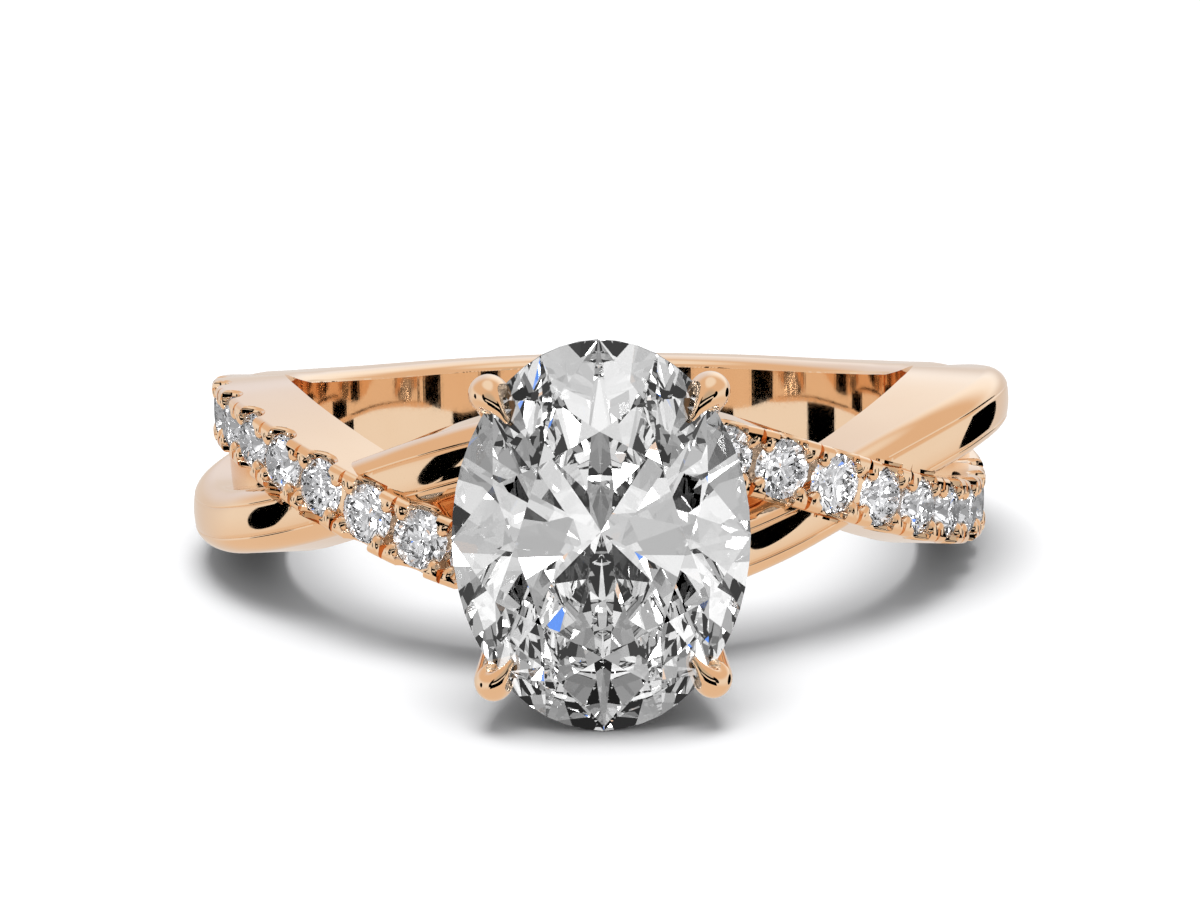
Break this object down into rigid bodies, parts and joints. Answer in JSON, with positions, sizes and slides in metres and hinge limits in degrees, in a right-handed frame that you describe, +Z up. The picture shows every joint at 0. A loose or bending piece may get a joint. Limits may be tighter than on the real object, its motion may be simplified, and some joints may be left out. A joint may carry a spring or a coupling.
{
  "type": "crossover engagement ring",
  "caption": "Crossover engagement ring: two wide strands, one plain and one stone set on each side, carry an oval stone in claws.",
  "frame": {"origin": "centre of the bottom of the bounding box, on the surface that the ring lies on", "axes": "+Z up; -Y towards the centre stone, which faces the viewer; +X towards the shoulder on the viewer's right. The ring lies on its side, on the stone's lower tip and the lower edge of the shank's back, so the finger hole's axis leans 7.7 degrees from Z"},
  "size_m": [0.0224, 0.0252, 0.0091],
  "materials": {
    "rose_gold": "polished 14 carat rose gold",
    "centre_diamond": "cut and polished diamond",
    "small_diamond": "cut and polished diamond"
  },
  "bodies": {
    "root": {"band": "rose_gold", "centre_stone": "centre_diamond", "small_stone_left_1": "small_diamond", "small_stone_left_2": "small_diamond", "small_stone_left_3": "small_diamond", "small_stone_left_4": "small_diamond", "small_stone_left_5": "small_diamond", "small_stone_left_6": "small_diamond", "small_stone_left_7": "small_diamond", "small_stone_left_8": "small_diamond", "small_stone_left_9": "small_diamond", "small_stone_right_1": "small_diamond", "small_stone_right_2": "small_diamond", "small_stone_right_3": "small_diamond", "small_stone_right_4": "small_diamond", "small_stone_right_5": "small_diamond", "small_stone_right_6": "small_diamond", "small_stone_right_7": "small_diamond", "small_stone_right_8": "small_diamond", "small_stone_right_9": "small_diamond"}
  },
  "joints": []
}
